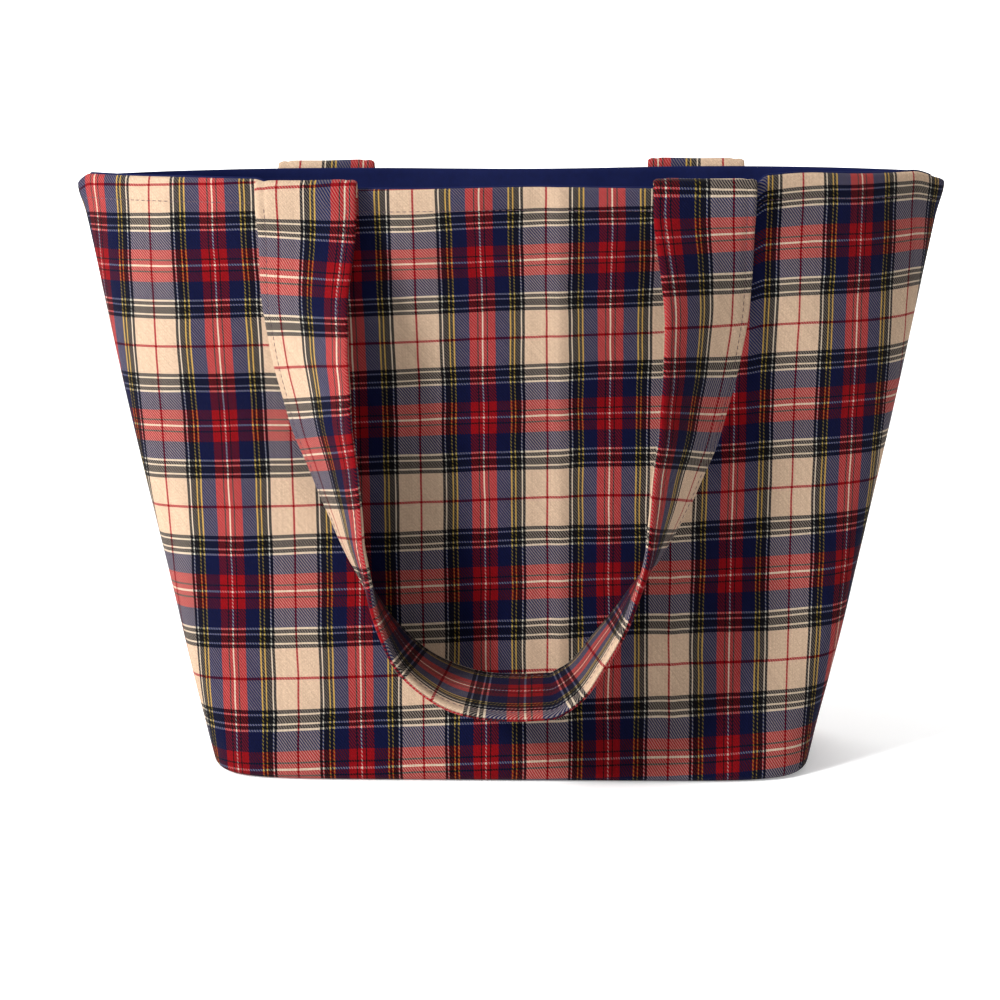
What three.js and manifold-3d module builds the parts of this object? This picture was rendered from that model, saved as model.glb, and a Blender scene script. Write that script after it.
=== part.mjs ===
// A tartan tote bag: a boxed base, walls of cloth, interlining and lining, and two strap handles that
// swing on the rim. Millimetres. +X runs across the bag, -Y faces its front, +Z is up, and the origin is
// on the floor under the middle of the base.
import * as THREE from 'three';
import { mergeVertices } from 'three/addons/utils/BufferGeometryUtils.js';
import Module from 'manifold-3d';

const wasm = await Module();
wasm.setup();

// The bag's outside.
const BAG_HEIGHT = 320;
const BASE = { halfWidth: 163, halfDepth: 60, sideRoundness: 8, tipRoundness: 3.5 };
const RIM = { halfWidth: 230, halfDepth: 50, sideRoundness: 3.6, tipRoundness: 1 };
const WAIST_PULL = 21; // how far the front and back walls lean in at half height
const SIDE_BULGE = 4; // how far the side edges bow out at half height
const BASE_EDGE = 4; // bevel round the bottom edge

// Layers of the wall, as depths in from the outside, and of the base, as heights.
const GAP = 0.4; // between touching layers
const CLOTH = 1.6;
const INTERLINING = 1.6;
const LINING = 1.0;
const BOARD = 2.5;
const SEAM_GAP = 0.15; // from the side seam's plane to each panel
const INTERLINING_DEPTH = CLOTH + GAP;
const LINING_DEPTH = INTERLINING_DEPTH + INTERLINING + GAP;
const BOARD_BOTTOM = INTERLINING_DEPTH + INTERLINING + GAP;
const LINING_BOTTOM = BOARD_BOTTOM + BOARD + GAP;

// The rim: the cloth is folded in over the interlining and stitched down.
const HEM_FOLD_UNDERSIDE = BAG_HEIGHT - 1.8;
const LINING_TOP = BAG_HEIGHT - 0.6;
const HEM_STITCH_DROP = 12;
const THREAD = 0.5;
const THREAD_STANDOFF = 0.5;

// The strap handles.
const STRAP_HALF_WIDTH = 26.5;
const STRAP_HALF_THICKNESS = 2.2;
const STRAP_WALL = 1.1;
const STRAP_BEVEL = 0.7; // of the edge, as a share of half the thickness
const STRAP_SPACING = 102; // from the middle of the bag to the middle of each leg
const STRAP_CLEARANCE = 1.5; // between a hanging strap and the wall
const STRAP_STITCH_INSET = 5;
const STRAP_END_LENGTH = 36; // the length sewn in below the rim
const HINGE_DEPTH = 46; // the fold over the rim that a strap swings on, from the middle of the bag
const HINGE_HEIGHT = BAG_HEIGHT + 3;

const POINTS_ROUND_BAG = 40;
const WALL_HEIGHTS = [13, 32, 70, 115, 165, 215, 260, 295];
const STEPS_BETWEEN_STRAP_POINTS = 2;

const lerp = THREE.MathUtils.lerp;

// ---- Solids -------------------------------------------------------------------------------------------

// A closed solid through rings of points, each ring turning the same way round the direction of travel.
// The two halves of a ring split their quads on opposite diagonals, so a twisted slab's faces stay parallel.
function skin(rings) {
  const count = rings[0].length;
  const sum = (ring) => ring.reduce((total, point) => total.add(point), new THREE.Vector3());
  const middle = (ring) => sum(ring).divideScalar(count);
  const points = [...rings.flat(), middle(rings[0]), middle(rings.at(-1))];
  const startMiddle = rings.length * count;
  const endMiddle = startMiddle + 1;
  const lastRing = (rings.length - 1) * count;
  const index = [];
  for (let i = 0; i < count; i += 1) {
    const next = (i + 1) % count;
    for (let ring = 0; ring < rings.length - 1; ring += 1) {
      const low = ring * count;
      const high = low + count;
      const [a, b, c, d] = [low + i, low + next, high + next, high + i];
      index.push(...(i < count / 2 ? [a, b, c, a, c, d] : [a, b, d, b, c, d]));
    }
    index.push(startMiddle, next, i, endMiddle, lastRing + i, lastRing + next);
  }
  const geometry = new THREE.BufferGeometry().setFromPoints(points);
  geometry.setIndex(index);
  return toSolid(geometry);
}

function toSolid(geometry) {
  geometry.deleteAttribute('normal');
  geometry.deleteAttribute('uv');
  const merged = mergeVertices(geometry);
  return new wasm.Manifold(new wasm.Mesh({
    numProp: 3,
    vertProperties: new Float32Array(merged.attributes.position.array),
    triVerts: new Uint32Array(merged.index.array),
  }));
}

function toGeometry(solid) {
  const mesh = solid.getMesh();
  const geometry = new THREE.BufferGeometry();
  geometry.setAttribute('position', new THREE.BufferAttribute(mesh.vertProperties, 3));
  geometry.setIndex(new THREE.BufferAttribute(mesh.triVerts, 1));
  geometry.computeVertexNormals();
  return geometry;
}

function block(low, high) {
  const size = high.clone().sub(low);
  const geometry = new THREE.BoxGeometry(size.x, size.y, size.z);
  const centre = low.clone().add(high).multiplyScalar(0.5);
  geometry.translate(centre.x, centre.y, centre.z);
  return toSolid(geometry);
}

// ---- The bag's walls ----------------------------------------------------------------------------------

// Half the depth of the bag at a height, from its middle to the outside of a wall.
function wallDepth(z) {
  const t = z / BAG_HEIGHT;
  return lerp(BASE.halfDepth, RIM.halfDepth, t) - WAIST_PULL * Math.sin(Math.PI * t);
}

// The outline at a height: a rounded oblong at the base that becomes a pointed oval at the rim. Its points
// are evenly spaced within each quarter, so the points at the side seams stay on them.
function outline(z) {
  const t = z / BAG_HEIGHT;
  const halfWidth = lerp(BASE.halfWidth, RIM.halfWidth, t) + SIDE_BULGE * 4 * t * (1 - t);
  const halfDepth = wallDepth(z);
  const sidePower = 2 / lerp(BASE.sideRoundness, RIM.sideRoundness, t);
  const tipPower = 2 / lerp(BASE.tipRoundness, RIM.tipRoundness, t);
  const quarter = [];
  for (let i = 0; i <= 200; i += 1) {
    const angle = (i / 200) * (Math.PI / 2);
    const x = halfWidth * Math.max(Math.cos(angle), 0) ** sidePower;
    quarter.push(new THREE.Vector2(x, halfDepth * Math.sin(angle) ** tipPower));
  }
  const even = evenlySpaced(quarter, POINTS_ROUND_BAG / 4);
  const half = [...even.slice(0, -1), ...even.slice(1).reverse().map((p) => new THREE.Vector2(-p.x, p.y))];
  return [...half, ...half.map((p) => new THREE.Vector2(-p.x, -p.y))];
}

// The same line as `count` steps of equal length.
function evenlySpaced(line, count) {
  const lengths = [0];
  for (let i = 1; i < line.length; i += 1) {
    lengths.push(lengths[i - 1] + line[i].distanceTo(line[i - 1]));
  }
  const points = [];
  for (let step = 0; step <= count; step += 1) {
    const wanted = (step / count) * lengths.at(-1);
    const after = Math.min(Math.max(lengths.findIndex((length) => length >= wanted), 1), line.length - 1);
    const share = (wanted - lengths[after - 1]) / (lengths[after] - lengths[after - 1]);
    points.push(line[after - 1].clone().lerp(line[after], share));
  }
  return points;
}

// A closed outline moved in by a distance, so that every side stays parallel to where it was.
function movedIn(line, distance) {
  return line.map((point, i) => {
    const before = line[(i + line.length - 1) % line.length];
    const after = line[(i + 1) % line.length];
    const normals = [[before, point], [point, after]].map(([from, to]) => {
      const along = to.clone().sub(from).normalize();
      return new THREE.Vector2(-along.y, along.x);
    });
    const inward = normals[0].clone().add(normals[1]).divideScalar(1 + normals[0].dot(normals[1]));
    return point.clone().addScaledVector(inward, distance);
  });
}

// Everything inside the surface that lies `depth` in from the bag's outside, between two heights.
function filledBag(depth, bottom, top) {
  const ring = (z, extra) => movedIn(outline(z), depth + extra).map((p) => new THREE.Vector3(p.x, p.y, z));
  const aboveEdge = bottom + BASE_EDGE;
  const between = WALL_HEIGHTS.filter((z) => z > aboveEdge && z < top);
  return skin([ring(bottom, BASE_EDGE), ...[aboveEdge, ...between, top].map((z) => ring(z, 0))]);
}

// A layer of the wall with its own floor, open at the top.
function openShell(depth, thickness, bottom, top) {
  const inside = filledBag(depth + thickness, bottom + thickness, top + 1);
  return filledBag(depth, bottom, top).subtract(inside);
}

// Cuts a solid to the front or back of the bag; `side` is -1 at the front and 1 at the back.
function halfOf(solid, side) {
  const reach = RIM.halfWidth * 2;
  const near = SEAM_GAP * side;
  const far = reach * side;
  const low = new THREE.Vector3(-reach, Math.min(near, far), -reach);
  const high = new THREE.Vector3(reach, Math.max(near, far), reach);
  return solid.intersect(block(low, high));
}

// The column over and under the rim that a leg of a handle takes, widened by `extra` at each edge.
function strapColumn(legSide, side, bottom, extra) {
  const x = legSide * STRAP_SPACING;
  const halfWidth = STRAP_HALF_WIDTH + extra;
  const far = side * RIM.halfDepth * 2;
  const low = new THREE.Vector3(x - halfWidth, Math.min(0, far), bottom - extra);
  const high = new THREE.Vector3(x + halfWidth, Math.max(0, far), BAG_HEIGHT + GAP + extra);
  return block(low, high);
}

function outerPanel(side) {
  const underHem = filledBag(CLOTH, CLOTH, HEM_FOLD_UNDERSIDE);
  const mouth = filledBag(LINING_DEPTH - GAP, CLOTH, BAG_HEIGHT + 1);
  const slots = [-1, 1].map((legSide) => strapColumn(legSide, side, HEM_FOLD_UNDERSIDE - GAP, GAP)
    .intersect(filledBag(CLOTH, CLOTH, BAG_HEIGHT + 1)));
  const shell = filledBag(0, 0, BAG_HEIGHT).subtract(underHem).subtract(mouth);
  return halfOf(slots.reduce((cut, slot) => cut.subtract(slot), shell), side);
}

function interliningPanel(side) {
  const shell = openShell(INTERLINING_DEPTH, INTERLINING, INTERLINING_DEPTH, HEM_FOLD_UNDERSIDE - GAP);
  const notches = [-1, 1].map((legSide) => strapColumn(legSide, side, BAG_HEIGHT - STRAP_END_LENGTH, GAP));
  return halfOf(notches.reduce((cut, notch) => cut.subtract(notch), shell), side);
}

function liningPanel(side) {
  return halfOf(openShell(LINING_DEPTH, LINING, LINING_BOTTOM, LINING_TOP), side);
}

// The end of a strap leg, sewn in between the hem and the lining where the interlining is notched.
function handleEnd(legSide, side) {
  const layer = openShell(INTERLINING_DEPTH, INTERLINING, INTERLINING_DEPTH, BAG_HEIGHT + GAP);
  return layer.intersect(strapColumn(legSide, side, BAG_HEIGHT - STRAP_END_LENGTH, 0));
}

function hemStitching(side) {
  const top = BAG_HEIGHT - HEM_STITCH_DROP;
  const reach = RIM.halfWidth * 2;
  const slab = block(new THREE.Vector3(-reach, -reach, top - THREAD), new THREE.Vector3(reach, reach, top));
  const thread = filledBag(-THREAD_STANDOFF - THREAD, 0, BAG_HEIGHT)
    .subtract(filledBag(-THREAD_STANDOFF, 0, BAG_HEIGHT));
  return halfOf(thread.intersect(slab), side);
}

function baseBoard() {
  const inset = LINING_DEPTH + BASE_EDGE;
  const ring = (z) => movedIn(outline(z), inset).map((p) => new THREE.Vector3(p.x, p.y, z));
  return skin([ring(BOARD_BOTTOM), ring(BOARD_BOTTOM + BOARD)]);
}

// ---- The handles --------------------------------------------------------------------------------------

// One leg of the hanging front handle, from the rim down to the middle of its bottom. `turn` is how far the
// strap has twisted from lying flat against the wall to standing out from it on edge.
const LEG_BELOW_RIM = [
  { x: STRAP_SPACING, z: 300, turn: 12 },
  { x: 104, z: 268, turn: 27 },
  { x: 102, z: 234, turn: 37 },
  { x: 97, z: 200, turn: 47 },
  { x: 89, z: 166, turn: 57 },
  { x: 80, z: 132, turn: 68 },
  { x: 69, z: 100, turn: 78 },
  { x: 54, z: 75, turn: 86 },
  { x: 32, z: 58, turn: 90 },
];
const LOWEST_POINT = { x: 0, z: 52, turn: 90 };

// Where the middle of the strap hangs, for its outer edge to touch the wall.
function hangingPoint({ x, z, turn }) {
  const angle = THREE.MathUtils.degToRad(turn);
  const standOff = STRAP_HALF_THICKNESS * Math.cos(angle) + STRAP_HALF_WIDTH * Math.sin(angle);
  return new THREE.Vector3(x, -wallDepth(z) - STRAP_CLEARANCE - standOff, z);
}

// The strap's middle line and its width direction, from the left end to the right end.
function strapStations() {
  const flat = STRAP_CLEARANCE + STRAP_HALF_THICKNESS;
  const overRim = [
    new THREE.Vector3(STRAP_SPACING, -HINGE_DEPTH, HINGE_HEIGHT),
    new THREE.Vector3(STRAP_SPACING, -RIM.halfDepth, HINGE_HEIGHT),
    new THREE.Vector3(STRAP_SPACING, -RIM.halfDepth - flat, HINGE_HEIGHT - flat),
  ];
  const right = [...overRim, ...LEG_BELOW_RIM.map(hangingPoint)];
  const turns = [0, 0, 0, ...LEG_BELOW_RIM.map((point) => point.turn)];
  const left = right.map((point) => new THREE.Vector3(-point.x, point.y, point.z));
  const path = new THREE.CatmullRomCurve3([...left, hangingPoint(LOWEST_POINT), ...right.reverse()]);
  const widthAngles = [...turns.map((turn) => 180 - turn), LOWEST_POINT.turn, ...turns.reverse()];
  const twist = new THREE.CatmullRomCurve3(
    widthAngles.map((angle) => new THREE.Vector3(angle, 0, 0)), false, 'catmullrom');
  const steps = (widthAngles.length - 1) * STEPS_BETWEEN_STRAP_POINTS;
  return Array.from({ length: steps + 1 }, (unused, i) => {
    const along = path.getTangent(i / steps);
    const angle = THREE.MathUtils.degToRad(twist.getPoint(i / steps).x);
    const across = new THREE.Vector3(Math.cos(angle), Math.sin(angle), 0);
    across.addScaledVector(along, -across.dot(along)).normalize();
    return { middle: path.getPoint(i / steps), along, across, outward: across.clone().cross(along) };
  });
}

// The corners of a bar's section, as places across and out from its middle, turning from its outer edge.
function squareSection(halfWidth, halfThickness) {
  return [
    [halfWidth, -halfThickness], [halfWidth, halfThickness],
    [-halfWidth, halfThickness], [-halfWidth, -halfThickness],
  ];
}

function bevelledSection(halfWidth, halfThickness) {
  const bevel = halfThickness * STRAP_BEVEL;
  return [
    [halfWidth, -halfThickness + bevel], [halfWidth, halfThickness - bevel],
    [halfWidth - bevel, halfThickness], [-halfWidth + bevel, halfThickness],
    [-halfWidth, halfThickness - bevel], [-halfWidth, -halfThickness + bevel],
    [-halfWidth + bevel, -halfThickness], [halfWidth - bevel, -halfThickness],
  ];
}

// A bar along the strap. `at` is the place of its middle across and out from the strap's middle.
function alongStrap(stations, section, at = { across: 0, outward: 0 }) {
  const ring = (station) => section.map(([across, outward]) => station.middle.clone()
    .addScaledVector(station.across, at.across + across)
    .addScaledVector(station.outward, at.outward + outward)).reverse();
  return skin(stations.map(ring));
}

// The stations with both ends drawn in, or let out where `distance` is negative.
function endsMoved(stations, distance) {
  const moved = (station, amount) => ({
    ...station, middle: station.middle.clone().addScaledVector(station.along, amount),
  });
  return [moved(stations[0], distance), ...stations.slice(1, -1), moved(stations.at(-1), -distance)];
}

function handlePieces() {
  const stations = strapStations();
  const section = (inset) => bevelledSection(STRAP_HALF_WIDTH - inset, STRAP_HALF_THICKNESS - inset);
  const inside = alongStrap(endsMoved(stations, -1), section(STRAP_WALL));
  const cover = alongStrap(stations, section(0)).subtract(inside);
  const core = alongStrap(endsMoved(stations, 1), section(STRAP_WALL + GAP));
  const stitchRow = (edge) => alongStrap(stations.slice(6, -6), squareSection(THREAD / 2, THREAD / 2), {
    across: edge * (STRAP_HALF_WIDTH - STRAP_STITCH_INSET),
    outward: STRAP_HALF_THICKNESS + THREAD_STANDOFF + THREAD / 2,
  });
  return { cover, core, outer_edge_stitching: stitchRow(1), inner_edge_stitching: stitchRow(-1) };
}

// ---- Assembly -----------------------------------------------------------------------------------------

const materials = {
  tartan: new THREE.MeshStandardMaterial({ color: 0x8c6a64, roughness: 0.95, metalness: 0 }),
  lining: new THREE.MeshStandardMaterial({ color: 0x0a1643, roughness: 0.8, metalness: 0 }),
  interlining: new THREE.MeshStandardMaterial({ color: 0xe4e0d6, roughness: 1, metalness: 0 }),
  board: new THREE.MeshStandardMaterial({ color: 0x55524d, roughness: 0.6, metalness: 0 }),
  webbing: new THREE.MeshStandardMaterial({ color: 0xd9d4c8, roughness: 0.9, metalness: 0 }),
  thread: new THREE.MeshStandardMaterial({ color: 0x1b1e2c, roughness: 0.7, metalness: 0 }),
};

const tote = new THREE.Group();

function addPiece(name, solid, material, parent = tote) {
  const piece = new THREE.Mesh(toGeometry(solid), materials[material]);
  piece.name = name;
  parent.add(piece);
}

for (const [word, side] of [['front', -1], ['back', 1]]) {
  addPiece(`outer_${word}_panel`, outerPanel(side), 'tartan');
  addPiece(`${word}_interlining`, interliningPanel(side), 'interlining');
  addPiece(`lining_${word}_panel`, liningPanel(side), 'lining');
  addPiece(`${word}_rim_topstitch`, hemStitching(side), 'thread');
  addPiece(`${word}_left_handle_end`, handleEnd(-1, side), 'tartan');
  addPiece(`${word}_right_handle_end`, handleEnd(1, side), 'tartan');
}
addPiece('base_board', baseBoard(), 'board');

// The back handle is the front one turned half round the bag's upright middle line.
for (const [word, halfTurns] of [['front', 0], ['back', 1]]) {
  const handle = new THREE.Group();
  handle.rotation.z = halfTurns * Math.PI;
  const { cover, core, ...stitching } = handlePieces();
  addPiece(`${word}_handle_cover`, cover, 'tartan', handle);
  addPiece(`${word}_handle_core`, core, 'webbing', handle);
  for (const [row, solid] of Object.entries(stitching)) {
    addPiece(`${word}_handle_${row}`, solid, 'thread', handle);
  }
  tote.add(handle);
}

export default tote;
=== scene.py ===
"""A tartan tote bag: its cloth, lining, stitching and strap handles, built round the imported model.

Lengths are in metres. The bag's front faces -Y, and every layer of its walls follows one surface.
"""

import math

import bpy
import numpy as np
from mathutils import Matrix, Vector


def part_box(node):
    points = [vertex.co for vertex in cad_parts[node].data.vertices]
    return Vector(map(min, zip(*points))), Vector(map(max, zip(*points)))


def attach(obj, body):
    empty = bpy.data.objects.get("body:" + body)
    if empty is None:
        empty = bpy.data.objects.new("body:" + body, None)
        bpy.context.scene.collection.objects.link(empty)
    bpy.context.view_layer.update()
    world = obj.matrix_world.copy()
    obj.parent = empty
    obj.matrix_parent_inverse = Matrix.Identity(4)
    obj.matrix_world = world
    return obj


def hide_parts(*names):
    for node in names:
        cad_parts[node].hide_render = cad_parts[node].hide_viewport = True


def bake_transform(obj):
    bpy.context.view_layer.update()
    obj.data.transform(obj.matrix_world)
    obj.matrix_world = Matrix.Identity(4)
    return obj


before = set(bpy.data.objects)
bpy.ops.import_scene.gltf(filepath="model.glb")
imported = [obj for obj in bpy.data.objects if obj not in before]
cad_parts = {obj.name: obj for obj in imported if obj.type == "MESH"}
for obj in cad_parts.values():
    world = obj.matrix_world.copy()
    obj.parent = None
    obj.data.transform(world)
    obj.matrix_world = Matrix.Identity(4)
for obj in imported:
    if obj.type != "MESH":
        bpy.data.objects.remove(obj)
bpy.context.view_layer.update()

MM = 0.001

# ---- Sizes ----------------------------------------------------------------------------------------

panel_low, panel_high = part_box("outer_front_panel")
HEIGHT = panel_high[2]
RIM_HALF_WIDTH = panel_high[0]
BASE_HALF_DEPTH = -panel_low[1]
BASE_HALF_WIDTH = 163 * MM
RIM_HALF_DEPTH = 50 * MM
WAIST_PULL = 21 * MM
SIDE_BULGE = 4 * MM
SIDE_ROUNDNESS = (8, 3.6)  # at the base and at the rim
TIP_ROUNDNESS = (5, 1)
INSET_TO_WIDTH = (1, 1.62)  # how much faster a layer's outline narrows than it thins

CLOTH = 1.6 * MM
INTERLINING_DEPTHS = (2.0 * MM, 3.6 * MM)
LINING_DEPTHS = (4.3 * MM, 5.6 * MM)
LINING_FLOOR = 7.0 * MM
LINING_RISE = 0.6 * MM  # above the hem
LINING_EDGE = ((0.3, 0.16), (0.5, 0), (0.8, 0.16))  # its rounded top: depth and drop, in thicknesses
BASE_FOLD_RADIUS = 5 * MM
RIM_FOLD_RADIUS = 2 * MM
HEM_LIP = 3 * MM
RIM_FLARE = 1.2 * MM
HEM_STITCH_DROP = 12 * MM
SEAM_GAP = 0.03 * MM
STRAP_END_LENGTH = 36 * MM
STRAIGHT_TO_ARC = 0.96  # the rim's half width over the wall's length along it, behind the straps

# Rows of each part of a layer, and columns from seam to seam.
BASE_ROWS, BEND_ROWS, WALL_ROWS, FOLD_ROWS, LIP_ROWS = 16, 7, 112, 10, 4
TARTAN_COLUMNS, LINING_COLUMNS, INTERLINING_COLUMNS, STRAP_END_COLUMNS = 221, 161, 121, 25

STRAP_HALF_WIDTH = 26.5 * MM
STRAP_HALF_THICKNESS = 2.3 * MM
STRAP_WALL = 0.9 * MM
STRAP_SPACING = 102 * MM
STRAP_CLEARANCE = 1.4 * MM
STRAP_STITCH_INSET = 5 * MM

HALF_SETT_THREADS = 94
PLY_TURN = 9000  # radians of a sewing thread's slanting bands to the metre
HIDDEN_THREAD_TINT_AND_SHADE = (0.68, 0.82)  # how far a warp thread on top is darkened by the weft's colour, and the reverse: partly the hidden thread's fibres showing through, partly painted shade from light a dark neighbour doesn't bounce

random = np.random.default_rng(11)


def lerp(pair, share):
    return pair[0] + (pair[1] - pair[0]) * share


def smoothstep(low, high, value):
    share = np.clip((value - low) / (high - low), 0, 1)
    return share * share * (3 - 2 * share)


def bump(middle, spread, value):
    return np.exp(-(((value - middle) / spread) ** 2))


# ---- The wall's surface ---------------------------------------------------------------------------


def wall_depth(z):
    share = z / HEIGHT
    return lerp((BASE_HALF_DEPTH, RIM_HALF_DEPTH), share) - WAIST_PULL * np.sin(math.pi * share)


def quarter_outline(z, depth):
    """x and y from the middle of the front to the side seam, and the length along, at one height."""
    share = z / HEIGHT
    half_width = lerp((BASE_HALF_WIDTH, RIM_HALF_WIDTH), share) + SIDE_BULGE * 4 * share * (1 - share)
    half_width -= depth * lerp(INSET_TO_WIDTH, share)
    half_depth = wall_depth(z) - depth
    angle = np.linspace(math.pi / 2, 0, 500)
    x = half_width * np.abs(np.cos(angle)) ** (2 / lerp(SIDE_ROUNDNESS, share))
    y = half_depth * np.sin(angle) ** (2 / lerp(TIP_ROUNDNESS, share))
    x[0] = 0
    along = np.concatenate([[0], np.cumsum(np.hypot(np.diff(x), np.diff(y)))])
    return x, y, along


def wave_field(waves, shortest, longest, height):
    """A smooth random height over the wall, as a sum of plane waves."""
    lengths = random.uniform(shortest, longest, waves)
    angles = random.uniform(0, math.pi, waves)
    phases = random.uniform(0, 2 * math.pi, waves)
    weights = lengths / lengths.mean() * height / math.sqrt(waves)

    def field(x, z):
        turns = (x[..., None] * np.cos(angles) + z[..., None] * np.sin(angles)) / lengths
        return (np.sin(2 * math.pi * turns + phases) * weights).sum(-1)

    return field


broad_waves = {side: wave_field(14, 70 * MM, 190 * MM, 1.5 * MM) for side in (-1, 1)}
fine_waves = {side: wave_field(24, 16 * MM, 45 * MM, 0.28 * MM) for side in (-1, 1)}


def cloth_relief(x, z, share_across, side):
    """How far the walls stand out from their plain shape: soft waves, storage creases and strap pull."""
    relief = broad_waves[side](x, z) + fine_waves[side](x, z)
    if side < 0:
        relief += 1.5 * MM * bump(28 * MM, 5 * MM, x) * smoothstep(0, 40 * MM, z)
        relief -= 0.8 * MM * bump(28 * MM, 22 * MM, x)
        low_crease = smoothstep(165 * MM, 135 * MM, z) * smoothstep(5 * MM, 30 * MM, z)
        relief += 1.2 * MM * bump(88 * MM, 4 * MM, x) * low_crease
    fade = smoothstep(1.0, 0.9, np.abs(share_across)) * smoothstep(2 * MM, 25 * MM, z)
    return relief * fade


def rim_rise(x, side):
    """How far the rim stands above or below level. The straps' weight pulls the front down between them."""
    if side < 0:
        pulled = smoothstep(-130 * MM, -114 * MM, x) * smoothstep(134 * MM, 126 * MM, x)
        rise = 2.0 * MM - 5.2 * MM * pulled + 1.0 * MM * bump(10 * MM, 45 * MM, x)
        rise += 1.5 * MM * bump(155 * MM, 22 * MM, x)
    else:
        rise = 0.5 * MM - 1.5 * MM * bump(0, 80 * MM, x)
    rise -= 4.0 * MM * smoothstep(223 * MM, 232 * MM, -x)
    rise -= 5.0 * MM * smoothstep(212 * MM, 232 * MM, x)
    return rise


def place(shares, z, depth, base_share, side):
    """Points of one row of a layer. base_share runs from 0 at the base's edge to 1 at its middle line."""
    x, y, along = quarter_outline(z, depth)
    wanted = np.abs(shares) * along[-1]
    px = np.sign(shares) * np.interp(wanted, along, x)
    py = -np.interp(wanted, along, y)
    relief = cloth_relief(px, np.full_like(px, z), shares, -1 if side < 0 else 1)
    flare = RIM_FLARE * bump(HEIGHT - 4 * MM, 9 * MM, z) * smoothstep(0.55, 1, np.abs(shares))
    px += np.sign(shares) * flare
    py -= relief
    pz = z + rim_rise(px, side) * (z / HEIGHT) ** 5
    spine = px * (BASE_HALF_WIDTH - BASE_HALF_DEPTH) / BASE_HALF_WIDTH
    px = px + (spine - px) * base_share
    py = py * (1 - base_share) - SEAM_GAP
    return np.stack([px, -side * py, pz], -1), np.sign(shares) * wanted


def layer_rows(offset, depth, floor, top, thickness, fold):
    """A layer's rows from the middle of the base to its top edge, at `offset` in from its outer face, as
    (height, depth, base share, length along the cloth). With fold, the top turns in over what is behind."""
    radius = BASE_FOLD_RADIUS
    bend_length = radius * 1.5
    half_base = BASE_HALF_DEPTH - depth
    rows = []
    for share in np.linspace(1, 0, BASE_ROWS)[:-1]:
        rows.append((floor + offset, depth + radius, share, -half_base * share - bend_length))
    reach = radius - offset
    for angle in np.linspace(0, math.pi / 2, BEND_ROWS)[:-1]:
        z = floor + radius - reach * math.cos(angle)
        v = bend_length * (angle / (math.pi / 2) - 1)
        rows.append((z, depth + radius - reach * math.sin(angle), 0, v))
    straight_top = top - (RIM_FOLD_RADIUS if fold else thickness / 2)
    for z in np.linspace(floor + radius, straight_top, WALL_ROWS):
        rows.append((z, depth + offset, 0, z - floor - radius))
    if fold:
        rows += folded_rows(offset, depth, straight_top, straight_top - floor - radius)
    return rows


def folded_rows(offset, depth, straight_top, length):
    """The rows of a hem that turns in over the rim and down behind it, from `length` along the cloth."""
    rows = []
    reach = RIM_FOLD_RADIUS - offset
    for angle in np.linspace(0, math.pi, FOLD_ROWS)[1:]:
        z = straight_top + reach * math.sin(angle)
        inward = depth + RIM_FOLD_RADIUS - reach * math.cos(angle)
        rows.append((z, inward, 0, length + RIM_FOLD_RADIUS * angle))
    behind = depth + 2 * RIM_FOLD_RADIUS - offset
    folded_length = length + RIM_FOLD_RADIUS * math.pi
    for share in np.linspace(0, 1, LIP_ROWS)[1:]:
        rows.append((straight_top - HEM_LIP * share, behind, 0, folded_length + HEM_LIP * share))
    return rows


def mesh_object(name, points, faces, uvs=None, material=None):
    """A smooth-shaded object from points, faces and, where given, each point's place on the cloth."""
    mesh = bpy.data.meshes.new(name)
    mesh.from_pydata(np.asarray(points, float).reshape(-1, 3).tolist(), [], faces)
    if uvs is not None:
        layer = mesh.uv_layers.new(name="cloth")
        corners = np.empty(len(mesh.loops), np.int32)
        mesh.loops.foreach_get("vertex_index", corners)
        layer.data.foreach_set("uv", np.asarray(uvs, np.float32).reshape(-1, 2)[corners].ravel())
    mesh.polygons.foreach_set("use_smooth", [True] * len(mesh.polygons))
    thing = bpy.data.objects.new(name, mesh)
    bpy.context.scene.collection.objects.link(thing)
    if material:
        mesh.materials.append(material)
    return thing


def tube_faces(rings, count, close_ends=True):
    """Faces of a closed tube of rings, each of `count` points."""
    faces = []
    for ring in range(rings - 1):
        for i in range(count):
            a, b = ring * count + i, ring * count + (i + 1) % count
            faces.append((a, b, b + count, a + count))
    if close_ends:
        last = (rings - 1) * count
        for i in range(count // 2 - 1):
            j = count - 1 - i
            faces.append((i, j, j - 1, i + 1))
            faces.append((last + i, last + i + 1, last + j - 1, last + j))
    return faces


def wall_layer(name, side, columns, rows_out, rows_in, material, share_range=(-1, 1)):
    """A closed piece of one layer: each column runs up its outer face and back down its inner face."""
    shares = np.linspace(*share_range, columns)
    rows = rows_out + rows_in[::-1]
    points = np.empty((columns, len(rows), 3))
    uvs = np.empty((columns, len(rows), 2))
    for i, (z, depth, base_share, v) in enumerate(rows):
        points[:, i], uvs[:, i, 0] = place(shares, z, depth, base_share, side)
        uvs[:, i, 1] = v
    faces = tube_faces(columns, len(rows))
    if side > 0:
        faces = [face[::-1] for face in faces]
    return mesh_object(name, points, faces, uvs, material)


# ---- Materials ------------------------------------------------------------------------------------


def linear(red, green, blue):
    def channel(value):
        value /= 255
        return value / 12.92 if value <= 0.04045 else ((value + 0.055) / 1.055) ** 2.4

    return (channel(red), channel(green), channel(blue), 1)


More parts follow.
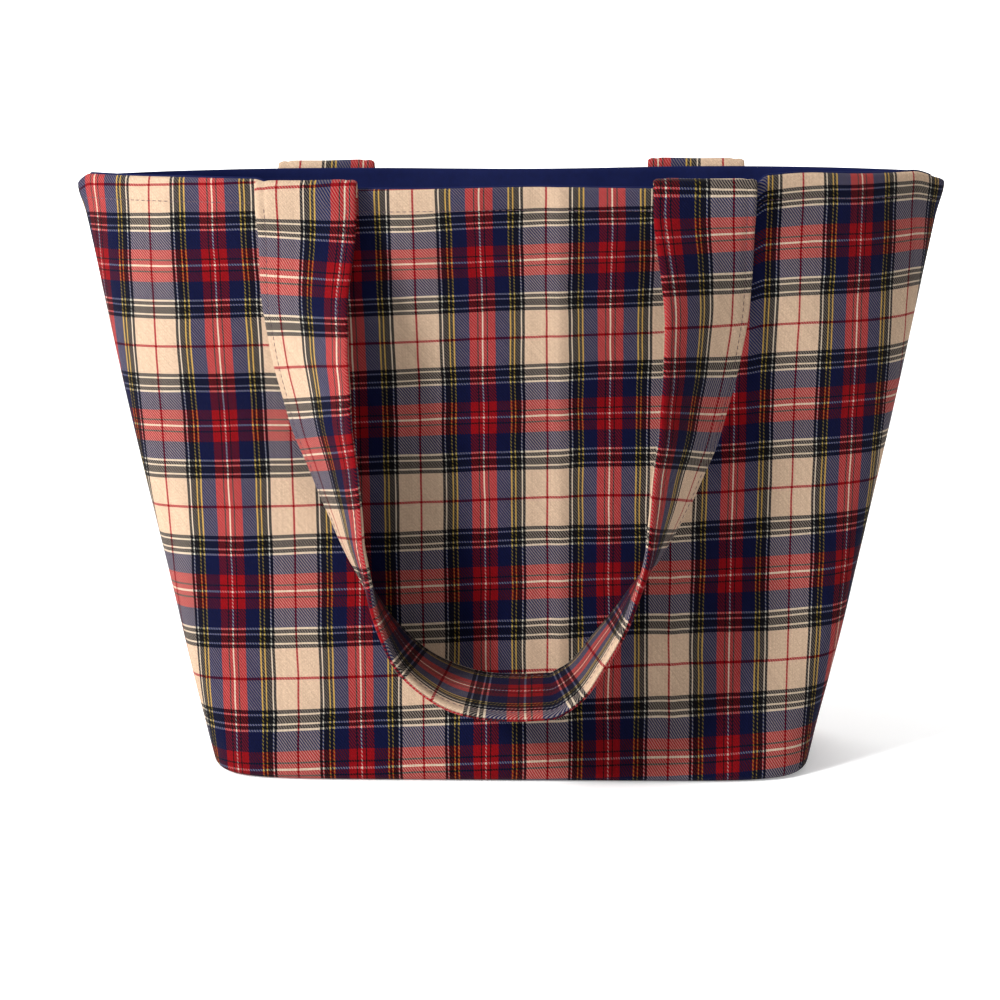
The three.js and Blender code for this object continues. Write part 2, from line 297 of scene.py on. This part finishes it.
class Graph:
    """A material's nodes. Each method adds one node and returns its output."""

    def __init__(self, name):
        self.material = bpy.data.materials.new(name)
        self.material.use_nodes = True
        self.nodes = self.material.node_tree.nodes
        self.shader = self.nodes["Principled BSDF"]

    def feed(self, socket, value):
        if isinstance(value, bpy.types.NodeSocket):
            self.material.node_tree.links.new(value, socket)
        else:
            socket.default_value = value

    def math(self, operation, first, second=0.0, third=0.0):
        node = self.nodes.new("ShaderNodeMath")
        node.operation = operation
        for socket, value in zip(node.inputs, (first, second, third)):
            self.feed(socket, value)
        return node.outputs[0]

    def mix(self, factor, first, second, blend="MIX"):
        node = self.nodes.new("ShaderNodeMix")
        node.data_type = "RGBA"
        node.blend_type = blend
        self.feed(node.inputs["Factor"], factor)
        self.feed(node.inputs[6], first)
        self.feed(node.inputs[7], second)
        return node.outputs[2]

    def cloth_axes(self):
        node = self.nodes.new("ShaderNodeUVMap")
        node.uv_map = "cloth"
        split = self.nodes.new("ShaderNodeSeparateXYZ")
        self.feed(split.inputs[0], node.outputs[0])
        return node.outputs[0], split.outputs[0], split.outputs[1]

    def noise(self, vector, scale, detail=2.0, roughness=0.5):
        node = self.nodes.new("ShaderNodeTexNoise")
        self.feed(node.inputs["Vector"], vector)
        node.inputs["Scale"].default_value = scale
        node.inputs["Detail"].default_value = detail
        node.inputs["Roughness"].default_value = roughness
        return node.outputs["Fac"]

    def random_per(self, value):
        node = self.nodes.new("ShaderNodeTexWhiteNoise")
        node.noise_dimensions = "1D"
        self.feed(node.inputs["W"], value)
        return node.outputs["Value"]

    def object_place(self):
        return self.nodes.new("ShaderNodeTexCoord").outputs["Object"]

    def ranged(self, value, low, high):
        return self.math("MULTIPLY_ADD", value, high - low, low)

    def bands(self, value, stops):
        """Flat colours along value, each starting at its stop."""
        node = self.nodes.new("ShaderNodeValToRGB")
        ramp = node.color_ramp
        ramp.interpolation = "CONSTANT"
        while len(ramp.elements) < len(stops):
            ramp.elements.new(0.5)
        for element, (start, colour) in zip(ramp.elements, stops):
            element.position = start
            element.color = colour
        self.feed(node.inputs[0], value)
        return node.outputs[0]

    def bump(self, height, distance, strength=1.0):
        node = self.nodes.new("ShaderNodeBump")
        node.inputs["Strength"].default_value = strength
        node.inputs["Distance"].default_value = distance
        self.feed(node.inputs["Height"], height)
        self.feed(self.shader.inputs["Normal"], node.outputs[0])

    def finish(self, colour, roughness, sheen=0.0, sheen_roughness=0.5, sheen_tint=(1, 1, 1, 1)):
        self.feed(self.shader.inputs["Base Color"], colour)
        self.feed(self.shader.inputs["Roughness"], roughness)
        self.shader.inputs["Specular IOR Level"].default_value = 0.1
        self.shader.inputs["Sheen Weight"].default_value = sheen
        self.shader.inputs["Sheen Roughness"].default_value = sheen_roughness
        self.shader.inputs["Sheen Tint"].default_value = sheen_tint
        return self.material


CREAM = linear(250, 229, 208)
BLACK = linear(20, 22, 34)
WHITE = linear(250, 244, 230)
YELLOW = linear(218, 186, 74)
NAVY = linear(18, 34, 100)
RED = linear(190, 14, 40)

# Half of the tartan's repeat, as colours and threads from the middle of the cream to the middle of the red.
HALF_SETT = (
    ("red", 1.4), ("cream", 30.6), ("black", 4), ("white", 2), ("black", 8), ("line", 2), ("black", 4),
    ("line", 2), ("navy", 21), ("red", 11), ("black", 2), ("red", 4.6), ("white", 1.4),
)


def sett_stops(line_colour):
    colours = {
        "red": RED, "cream": CREAM, "black": BLACK, "white": WHITE, "navy": NAVY, "line": line_colour,
    }
    stops, threads = [], 0
    for name, count in HALF_SETT:
        stops.append((threads / HALF_SETT_THREADS, colours[name]))
        threads += count
    return stops


def tartan(name, middle, threads, skew=0.0, stretch=(0.0, 0.0), fan=0.0):
    """Brushed 2/2 twill. `middle` is the cloth place of a cream square's middle and `threads` the width of a
    warp and a weft thread there. The weft runs off level by skew, threads widen away from the middle by
    stretch, and the warp opens towards the rim by fan."""
    graph = Graph(name)
    cloth, u, v = graph.cloth_axes()
    sway = [graph.ranged(graph.noise(cloth, scale, 2), -1.1 * MM, 1.1 * MM) for scale in (22, 17)]
    across, up = [
        graph.math("ADD", graph.math("SUBTRACT", axis, start), wander)
        for axis, start, wander in zip((u, v), middle, sway)
    ]
    opened = graph.math("MULTIPLY", graph.math("MULTIPLY", across, up), -fan)
    warp_place, weft_place = [
        graph.math("MULTIPLY_ADD", graph.math("MULTIPLY", axis, axis), widening, axis)
        for axis, widening in zip((across, up), stretch)
    ]
    warp_count = graph.math("DIVIDE", graph.math("ADD", warp_place, opened), threads[0])
    weft_count = graph.math("DIVIDE", graph.math("MULTIPLY_ADD", across, skew, weft_place), threads[1])
    pingpong = [
        graph.math("DIVIDE", graph.math("PINGPONG", count, HALF_SETT_THREADS), HALF_SETT_THREADS)
        for count in (warp_count, weft_count)
    ]
    warp = graph.bands(pingpong[0], sett_stops(YELLOW))
    weft = graph.bands(pingpong[1], sett_stops(WHITE))
    warp_index = graph.math("FLOOR", warp_count)
    weft_index = graph.math("FLOOR", weft_count)
    step = graph.math("FLOORED_MODULO", graph.math("ADD", warp_index, weft_index), 4)
    weft_on_top = graph.math("LESS_THAN", step, 1.5)
    top_thread = graph.mix(weft_on_top, warp, weft)
    hidden_thread = graph.mix(weft_on_top, weft, warp)
    # The thread on top is darkened by the colour of the thread beneath: partly its fibres showing through,
    # partly painted shade between light and dark threads.
    hidden_tint_and_shade = graph.ranged(weft_on_top, *HIDDEN_THREAD_TINT_AND_SHADE)
    colour = graph.mix(hidden_tint_and_shade, top_thread, hidden_thread, "MULTIPLY")
    thread = graph.math("MULTIPLY_ADD", weft_index, weft_on_top, warp_index)
    shade = graph.ranged(graph.random_per(thread), 0.86, 1.08)
    fuzz = graph.ranged(graph.noise(cloth, 900, 3, 0.7), 0.6, 1.36)
    patches = graph.ranged(graph.noise(cloth, 14, 3), 0.88, 1.1)
    total = graph.math("MULTIPLY", graph.math("MULTIPLY", shade, fuzz), patches)

    def float_height(first, second, crown):
        """How high a thread stands along its float over two others, with its crown halfway."""
        along = graph.math("FLOORED_MODULO", graph.math("ADD", first, second), 4)
        off = graph.math("SUBTRACT", along, crown)
        return graph.math("MAXIMUM", graph.math("MULTIPLY_ADD", graph.math("MULTIPLY", off, off), -1, 1), 0)

    warp_height = float_height(warp_index, weft_count, 3)
    weft_height = float_height(warp_count, weft_index, 1)
    rise = graph.math("SUBTRACT", weft_height, warp_height)
    height = graph.math("MULTIPLY_ADD", rise, weft_on_top, warp_height)
    # Darker at each float's ends than at its crown: painted shade between the threads. The range also makes
    # the whole cloth darker.
    total = graph.math("MULTIPLY", total, graph.ranged(height, 0.27, 0.7))
    tone_and_float_shade = graph.nodes.new("ShaderNodeCombineColor")
    for socket in tone_and_float_shade.inputs:
        graph.feed(socket, total)
    colour = graph.mix(1.0, colour, tone_and_float_shade.outputs[0], "MULTIPLY")
    height = graph.math("MULTIPLY_ADD", graph.noise(cloth, 1300, 3, 0.7), 0.9, height)
    height = graph.math("MULTIPLY_ADD", graph.noise(cloth, 160, 3), 2.5, height)
    graph.bump(height, 0.14 * MM, 0.9)
    return graph.finish(colour, 0.95, 0.04, 0.4, linear(235, 215, 205))


def plain_cloth(name, base, dark, thread, sheen):
    """A plain weave: threads over and under, darker where the weave dips as painted shade, with a little slub
    and sheen.
    """
    graph = Graph(name)
    cloth, u, v = graph.cloth_axes()
    over = [
        graph.math("SINE", graph.math("MULTIPLY", axis, math.pi / thread)) for axis in (u, v)
    ]
    weave = graph.ranged(graph.math("MULTIPLY", *over), 0.5, 1.0)
    slub = graph.noise(cloth, 260, 3, 0.6)
    # Darker where the weave dips: painted shade between the threads. The slub varies the tone at random.
    colour = graph.mix(graph.math("MULTIPLY", weave, slub), dark, base)
    graph.bump(graph.math("ADD", weave, slub), 0.08 * MM, 0.7)
    return graph.finish(colour, 0.72, sheen, 0.4, base)


def felt(name, base, dark):
    graph = Graph(name)
    place_in_object = graph.object_place()
    colour = graph.mix(graph.noise(place_in_object, 500, 5, 0.7), dark, base)
    graph.bump(graph.noise(place_in_object, 900, 4, 0.8), 0.2 * MM, 0.8)
    return graph.finish(colour, 0.97, 0.15)


def stiffener(name, base, dark):
    graph = Graph(name)
    place_in_object = graph.object_place()
    fibres = graph.noise(place_in_object, 220, 4, 0.6)
    graph.bump(fibres, 0.05 * MM, 0.5)
    return graph.finish(graph.mix(fibres, dark, base), graph.ranged(fibres, 0.5, 0.75))


def thread_material(name, base, dark):
    """Sewing thread: two twisted plies, shown as fine slanting bands that are darker in the grooves, as
    painted shade.
    """
    graph = Graph(name)
    place_in_object = graph.object_place()
    split = graph.nodes.new("ShaderNodeSeparateXYZ")
    graph.feed(split.inputs[0], place_in_object)
    slant = graph.math("ADD", graph.math("ADD", split.outputs[0], split.outputs[1]), split.outputs[2])
    plies = graph.math("SINE", graph.math("MULTIPLY", slant, PLY_TURN))
    height = graph.ranged(plies, 0.5, 1.0)
    graph.bump(height, 0.05 * MM, 0.6)
    # The bands are darker in the grooves between the plies: painted shade.
    return graph.finish(graph.mix(height, dark, base), 0.55, 0.2)


PANEL_WEAVE = {"threads": (0.354 * MM, 0.478 * MM), "skew": -0.037, "stretch": (0.17, 0.29), "fan": 0.1}
tartan_front = tartan("tartan_front_panel", (21 * MM, 147 * MM), **PANEL_WEAVE)
tartan_back = tartan("tartan_back_panel", (-9 * MM, 130 * MM), **PANEL_WEAVE)
tartan_strap = tartan("tartan_strap", (14.5 * MM, 103.5 * MM), (0.374 * MM, 0.490 * MM))
navy_lining = plain_cloth("navy_lining", linear(15, 29, 86), linear(8, 15, 52), 0.3 * MM, 0.08)
white_felt = felt("felt_interlining", linear(232, 228, 218), linear(206, 200, 188))
base_stiffener = stiffener("base_stiffener", linear(92, 88, 82), linear(70, 66, 60))
webbing = plain_cloth("core_webbing", linear(222, 214, 198), linear(180, 170, 150), 0.8 * MM, 0.1)
dark_thread = thread_material("dark_thread", linear(96, 66, 74), linear(40, 28, 42))

# ---- Stitching ------------------------------------------------------------------------------------

STITCH_LENGTH = 2.7 * MM
STITCH_PITCH = 3.4 * MM
STITCH_BOW = 0.26 * MM  # how far the middle of a stitch stands above its ends
STITCH_SINK = 0.12 * MM
STITCH_RINGS = 5
STITCH_SIDES = 6
THREAD_RADIUS = 0.2 * MM
HEM_STITCH_REACH = 0.992  # of the way to each side seam


def stitch_row(path, outward):
    """Points and faces of a row of stitches along a path, each a bowed bead that dips in at both ends."""
    lengths = np.concatenate([[0], np.cumsum(np.linalg.norm(np.diff(path, axis=0), axis=1))])
    starts = np.arange(STITCH_PITCH / 2, lengths[-1] - STITCH_PITCH, STITCH_PITCH)
    turn = np.linspace(0, 2 * math.pi, STITCH_SIDES + 1)[:-1]
    points, faces = [], []
    for start in starts:
        for share in np.linspace(0, 1, STITCH_RINGS):
            at = start + share * STITCH_LENGTH
            middle = np.array([np.interp(at, lengths, path[:, axis]) for axis in range(3)])
            up = np.array([np.interp(at, lengths, outward[:, axis]) for axis in range(3)])
            ahead = np.array([np.interp(at + 0.2 * MM, lengths, path[:, axis]) for axis in range(3)])
            along = (ahead - middle) / np.linalg.norm(ahead - middle)
            up = up - along * (up @ along)
            up /= np.linalg.norm(up)
            across = np.cross(along, up)
            bow = math.sin(math.pi * share)
            radius = THREAD_RADIUS * (0.35 + 0.65 * bow)
            centre = middle + up * (bow * STITCH_BOW - STITCH_SINK)
            points.append(centre + radius * (np.cos(turn)[:, None] * across + np.sin(turn)[:, None] * up))
    points = np.array(points)
    bead_faces = tube_faces(STITCH_RINGS, STITCH_SIDES)
    for bead in range(len(starts)):
        first = bead * STITCH_RINGS * STITCH_SIDES
        faces += [tuple(first + i for i in face) for face in bead_faces]
    return points.reshape(-1, 3), faces


def stitching(name, rows, material):
    """One object holding several rows of stitches."""
    points, faces = [], []
    for path, outward in rows:
        row_points, row_faces = stitch_row(np.asarray(path), np.asarray(outward))
        start = sum(len(p) for p in points)
        points.append(row_points)
        faces += [tuple(start + i for i in face) for face in row_faces]
    return mesh_object(name, np.concatenate(points), faces, None, material)


# ---- The bag --------------------------------------------------------------------------------------


def outer_panel(word, side, material):
    settings = {"depth": 0, "floor": 0, "top": HEIGHT, "thickness": CLOTH, "fold": True}
    rows = [layer_rows(offset, **settings) for offset in (0, CLOTH)]
    piece = wall_layer(f"{word}_tartan_panel", side, TARTAN_COLUMNS, *rows, material)
    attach(piece, "bag")
    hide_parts(f"outer_{word}_panel")
    return piece


def lining_panel(word, side):
    depth, inner = LINING_DEPTHS
    thickness = inner - depth
    top = HEIGHT + LINING_RISE
    settings = {"depth": depth, "floor": LINING_FLOOR, "top": top, "thickness": thickness, "fold": False}
    rows = [layer_rows(offset, **settings) for offset in (0, thickness)]
    edge = [(top - thickness * drop, depth + thickness * inward, 0, top) for inward, drop in LINING_EDGE]
    rows[0] += edge[:2]
    rows[1] += edge[2:]
    piece = wall_layer(f"{word}_lining_panel", side, LINING_COLUMNS, *rows, navy_lining)
    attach(piece, "bag")
    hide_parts(f"lining_{word}_panel")
    return piece


def interlining_panel(word, side):
    depth, inner = INTERLINING_DEPTHS
    thickness = inner - depth
    top = HEIGHT - STRAP_END_LENGTH - 1 * MM
    settings = {"depth": depth, "floor": depth, "top": top, "thickness": thickness, "fold": False}
    rows = [layer_rows(offset, **settings) for offset in (0, thickness)]
    piece = wall_layer(f"{word}_felt_interlining", side, INTERLINING_COLUMNS, *rows, white_felt)
    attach(piece, "bag")
    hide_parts(f"{word}_interlining")
    return piece


def handle_end(word, side, hand, leg, material):
    """The flat end of a strap between the hem and the lining."""
    middle = leg * STRAP_SPACING / RIM_HALF_WIDTH
    half = STRAP_HALF_WIDTH / RIM_HALF_WIDTH
    heights = np.linspace(HEIGHT - STRAP_END_LENGTH, HEIGHT - 0.5 * MM, 14)
    rows = [[(z, depth, 0, z) for z in heights] for depth in INTERLINING_DEPTHS]
    shares = ((middle - half) * STRAIGHT_TO_ARC, (middle + half) * STRAIGHT_TO_ARC)
    piece = wall_layer(f"{word}_{hand}_strap_end", side, STRAP_END_COLUMNS, *rows, material, shares)
    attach(piece, "bag")
    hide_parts(f"{word}_{hand}_handle_end")
    return piece


def hem_stitches(word, side):
    shares = np.linspace(-HEM_STITCH_REACH, HEM_STITCH_REACH, 400)
    path, _ = place(shares, HEIGHT - HEM_STITCH_DROP, 0, 0, side)
    outside, _ = place(shares, HEIGHT - HEM_STITCH_DROP, -1 * MM, 0, side)
    piece = stitching(f"{word}_hem_stitches", [(path, outside - path)], dark_thread)
    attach(piece, "bag")
    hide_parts(f"{word}_rim_topstitch")
    return piece


# ---- The strap handles ----------------------------------------------------------------------------

# The hanging handle's legs from the rim down to its bottom: millimetres from the middle, millimetres up and
# degrees of turn. The strap twists from lying flat against the wall to standing out on edge.
LEFT_LEG = (
    (102, 298, 11), (103.5, 268, 24), (102, 234, 34), (97, 200, 45), (89, 166, 57),
    (80, 132, 69), (69, 101, 79), (54, 77, 86), (32, 60, 90), (14, 55, 90),
)
RIGHT_LEG = (
    (102, 298, 12), (103.5, 268, 28), (102, 234, 38), (97, 200, 47), (89, 166, 58),
    (78.5, 132, 72), (64, 101, 84), (48, 77, 90), (32, 58.5, 92), (25, 54.5, 91), (16, 54, 90),
)
BOTTOM_TILT = 0.14  # how far the front edge hangs below the back edge at the bottom, per unit of width
RIM_TURN = 5.4  # the wall's own slant where a strap crosses the rim
FOLD_DROP = {-1: 3.5 * MM, 1: 0.5 * MM}  # the front rim is pulled down under its straps
STRAP_STEP = 2.2 * MM
RUMPLES = ((0.25 * MM, 9.7 * MM, 0), (0.2 * MM, 5.3 * MM, 1))  # height, spacing and phase
PRESSED = 0.38  # the strap's fullness at its sewn-in ends
CORE_START = 8  # steps from each end of the strap
STITCHING_START = 9
STITCH_GROOVE = 0.55 * MM


def wall_reach(x, z):
    """How far the front wall stands from the middle of the bag at a place."""
    xs, ys, _ = quarter_outline(z, 0)
    return np.interp(abs(x), xs, ys)


def hanging_point(x, z, turn):
    """x, y, z and turn of the strap's middle where its outer edge rests on the wall."""
    x, z, angle = x * MM, z * MM, math.radians(turn)
    outer_edge = x + STRAP_HALF_WIDTH * math.cos(angle)
    stand_off = STRAP_HALF_THICKNESS * math.cos(angle) + STRAP_HALF_WIDTH * math.sin(angle)
    return (x, -wall_reach(outer_edge, z) - STRAP_CLEARANCE - stand_off, z, turn)


def strap_leg(points, drop):
    """A leg from behind the hem, over the rim and down. drop is how far its fold sits below the model's."""
    rim = wall_reach(STRAP_SPACING, HEIGHT)
    seat = rim + STRAP_CLEARANCE + STRAP_HALF_THICKNESS
    over = (
        (-rim + 2.8 * MM, HEIGHT - 4 * MM), (-rim + 2.6 * MM, HEIGHT + 0.5 * MM),
        (-rim - 0.6 * MM, HEIGHT + 3.2 * MM), (-seat, HEIGHT - 1.5 * MM), (-seat - 0.4 * MM, HEIGHT - 9 * MM),
    )
    fold = [(STRAP_SPACING, y, z - drop, RIM_TURN) for y, z in over]
    return fold + [hanging_point(*point) for point in points]


def smooth_curve(points, step):
    """A smooth curve at even steps through points, whose first three numbers are a place."""
    points = np.array(points)
    lengths = np.linalg.norm(np.diff(points[:, :3], axis=0), axis=1)
    at = np.concatenate([[0], np.cumsum(lengths)])
    slopes = np.gradient(points, at, axis=0)
    wanted = np.linspace(0, at[-1], int(at[-1] / step))
    span = np.clip(np.searchsorted(at, wanted, side="right") - 1, 0, len(at) - 2)
    width = (at[span + 1] - at[span])[:, None]
    t = ((wanted - at[span]) / width[:, 0])[:, None]
    return (
        (2 * t**3 - 3 * t**2 + 1) * points[span] + (t**3 - 2 * t**2 + t) * width * slopes[span]
        + (3 * t**2 - 2 * t**3) * points[span + 1] + (t**3 - t**2) * width * slopes[span + 1]
    )


def strap_stations(side):
    """The strap at even steps from left to right: its middle line, directions across and outward, length so
    far, fullness (less than 1 where it is pressed thin to be sewn in) and how far it is rumpled outward."""
    right = strap_leg(RIGHT_LEG, FOLD_DROP[side])
    left = [(-x, y, z, 180 - turn) for x, y, z, turn in strap_leg(LEFT_LEG, FOLD_DROP[side])]
    curve = smooth_curve(left + right[::-1], STRAP_STEP)
    middle, turn = curve[:, :3], np.radians(curve[:, 3])
    along = np.gradient(middle, axis=0)
    along /= np.linalg.norm(along, axis=1)[:, None]
    tilt = BOTTOM_TILT * smoothstep(0.8, 1, np.sin(turn))
    across = np.stack([np.cos(turn), np.sin(turn), tilt], -1)
    across -= along * (across * along).sum(1)[:, None]
    across /= np.linalg.norm(across, axis=1)[:, None]
    outward = np.cross(across, along)
    if side > 0:
        half_turn = np.array([-1, -1, 1])
        middle, across, outward = middle * half_turn, across * half_turn, outward * half_turn
    length = np.concatenate([[0], np.cumsum(np.linalg.norm(np.diff(middle, axis=0), axis=1))])
    near_end = np.minimum(length, length[-1] - length)
    fullness = PRESSED + (1 - PRESSED) * smoothstep(3 * MM, 11 * MM, near_end)
    rumple = sum(height * np.sin(length / spacing + phase) for height, spacing, phase in RUMPLES)
    return {
        "middle": middle, "across": across, "outward": outward, "length": length, "fullness": fullness,
        "rumple": rumple,
    }


def without_ends(stations, count):
    """The stations less the first and last few."""
    return {name: values[count:-count] for name, values in stations.items()}


def strap_section(inset):
    """(across, outward) of the strap's outline: puffed edges, a groove at each row of stitching."""
    half_width = STRAP_HALF_WIDTH - inset
    across = half_width * np.sin(np.linspace(-math.pi / 2, math.pi / 2, 45))
    edge = np.clip(1 - (np.abs(across) / half_width) ** 14, 0, 1) ** 0.5
    groove = bump(STRAP_HALF_WIDTH - STRAP_STITCH_INSET, 1.5 * MM, np.abs(across))
    middle = smoothstep(STRAP_HALF_WIDTH - 8 * MM, 0, np.abs(across))
    half = (STRAP_HALF_THICKNESS - inset) - STITCH_GROOVE * groove - 0.25 * MM * middle
    half = np.maximum(half, 0.3 * MM) * edge
    top = np.stack([across, half], -1)
    bottom = np.stack([across[::-1], -half[::-1]], -1)[1:-1]
    return np.concatenate([top, bottom])


def swept_strap(stations, section):
    """Points and cloth coordinates of a section swept along the strap."""
    rise = (section[None, :, 1] + stations["rumple"][:, None]) * stations["fullness"][:, None]
    points = (
        stations["middle"][:, None] + section[None, :, :1] * stations["across"][:, None]
        + rise[..., None] * stations["outward"][:, None]
    )
    on_top = np.arange(len(section)) <= len(section) // 2
    u = np.where(on_top, section[:, 0], 2 * STRAP_HALF_WIDTH - section[:, 0])
    uvs = np.stack(np.broadcast_arrays(u[None], stations["length"][:, None]), -1)
    return points, uvs


def strap_cover(word, stations):
    """The strap's cloth, as a hollow tube with its wall closed at both ends."""
    outer, uvs = swept_strap(stations, strap_section(0))
    inner, inner_uvs = swept_strap(stations, strap_section(STRAP_WALL))
    rings, count = outer.shape[:2]
    faces = tube_faces(rings, count, close_ends=False)
    start = rings * count
    inner_faces = [tuple(start + i for i in face[::-1]) for face in faces]
    ends = []
    for ring, flip in ((0, 1), (rings - 1, -1)):
        for i in range(count):
            a, b = ring * count + i, ring * count + (i + 1) % count
            ends.append((a, start + a, start + b, b)[::flip])
    points = np.concatenate([outer.reshape(-1, 3), inner.reshape(-1, 3)])
    all_uvs = np.concatenate([uvs.reshape(-1, 2), inner_uvs.reshape(-1, 2)])
    return mesh_object(f"{word}_strap_cover", points, faces + inner_faces + ends, all_uvs, tartan_strap)


def strap_core(word, stations):
    inset = STRAP_WALL + 0.4 * MM
    narrowed = (STRAP_HALF_WIDTH - STRAP_WALL - 1.2 * MM) / (STRAP_HALF_WIDTH - inset)
    section = strap_section(inset) * np.array([narrowed, 1])
    points, uvs = swept_strap(stations, section)
    faces = tube_faces(points.shape[0], points.shape[1])
    return mesh_object(f"{word}_strap_core", points, faces, uvs, webbing)


def strap_stitches(word, row, edge, stations):
    """One row on each face of the strap, along one edge."""
    outward = stations["outward"]
    line = stations["middle"] + stations["across"] * edge * (STRAP_HALF_WIDTH - STRAP_STITCH_INSET)
    lift = STRAP_HALF_THICKNESS - STITCH_GROOVE
    rumple = stations["rumple"][:, None]
    rows = [(line + outward * (face * lift + rumple), outward * face) for face in (-1, 1)]
    return stitching(f"{word}_strap_{row}_stitches", rows, dark_thread)


def handle(word, side):
    """The hanging part of a handle: cover, core and stitching, folded over the rim of its panel."""
    stations = strap_stations(side)
    core_stations = without_ends(stations, CORE_START)
    stitched = without_ends(stations, STITCHING_START)
    cover = strap_cover(word, stations)
    core = strap_core(word, core_stations)
    edges = {"outer_edge": 1, "inner_edge": -1}
    rows = {row: strap_stitches(word, row, edge, stitched) for row, edge in edges.items()}
    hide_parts(f"{word}_handle_cover")
    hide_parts(f"{word}_handle_core")
    for row, piece in rows.items():
        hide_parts(f"{word}_handle_{row}_stitching")
    for piece in (cover, core, *rows.values()):
        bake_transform(piece)


# ---- Putting it together --------------------------------------------------------------------------

for word, side, cloth in (("front", -1, tartan_front), ("back", 1, tartan_back)):
    panel = outer_panel(word, side, cloth)
    stitches = hem_stitches(word, side)
    lining = lining_panel(word, side)
    interlining = interlining_panel(word, side)
    for hand, leg in (("left", -1), ("right", 1)):
        end = handle_end(word, side, hand, leg, tartan_strap)
    handle(word, side)

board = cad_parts["base_board"]
board.data.materials.clear()
board.data.materials.append(base_stiffener)

# ---- Studio ---------------------------------------------------------------------------------------


def studio_sheet(name, depths, glow):
    """A wide white sheet through (depth, height) pairs, giving off some light of its own."""
    points = [(x, y, z - 0.2 * MM) for y, z in depths for x in (-4.0, 4.0)]
    faces = [(2 * i, 2 * i + 1, 2 * i + 3, 2 * i + 2) for i in range(len(depths) - 1)]
    graph = Graph(name)
    graph.shader.inputs["Emission Color"].default_value = (1, 1, 1, 1)
    graph.shader.inputs["Emission Strength"].default_value = glow
    mesh_object(name, points, faces, None, graph.finish((0.92, 0.92, 0.92, 1), 0.9))


def studio_floor():
    """A white floor that curves up into a glowing backdrop, far behind the bag."""
    bend = [(2.0 + 0.6 * math.sin(a), 0.6 - 0.6 * math.cos(a)) for a in np.linspace(0, math.pi / 2, 16)]
    studio_sheet("studio_floor", [(-3.0, 0.0), bend[0]], 0.28)
    studio_sheet("studio_backdrop", [*bend, (2.6, 2.4)], 1.0)


def area_light(name, place_at, size, power):
    """A square lamp aimed at the middle of the bag."""
    lamp = bpy.data.lights.new(name, "AREA")
    lamp.size = size
    lamp.energy = power
    thing = bpy.data.objects.new(name, lamp)
    thing.location = place_at
    aim = Vector((0, 0, 0.17)) - Vector(place_at)
    thing.rotation_euler = aim.to_track_quat("-Z", "Y").to_euler()
    bpy.context.scene.collection.objects.link(thing)


def studio_camera():
    camera = bpy.data.cameras.new("camera")
    camera.sensor_width = 36
    camera.lens = 79.4
    thing = bpy.data.objects.new("camera", camera)
    turn, tilt, roll = math.radians(2.19), math.radians(-13.21), math.radians(-0.43)
    facing = Matrix.Rotation(turn, 4, "Z")
    facing = facing @ Matrix.Rotation(math.pi / 2 + tilt, 4, "X") @ Matrix.Rotation(roll, 4, "Z")
    thing.matrix_world = Matrix.Translation((0.0396, -1.18, 0.4197)) @ facing
    bpy.context.scene.collection.objects.link(thing)
    bpy.context.scene.camera = thing


studio_floor()
studio_camera()
area_light("key", (-1.3, -1.0, 1.1), 0.35, 50)
area_light("top", (0.0, 0.3, 2.0), 1.4, 19)
world = bpy.data.worlds.new("studio")
world.use_nodes = True
world.node_tree.nodes["Background"].inputs["Color"].default_value = (1, 1, 1, 1)
world.node_tree.nodes["Background"].inputs["Strength"].default_value = 0.3
bpy.context.scene.world = world
bpy.context.scene.view_settings.view_transform = "Standard"
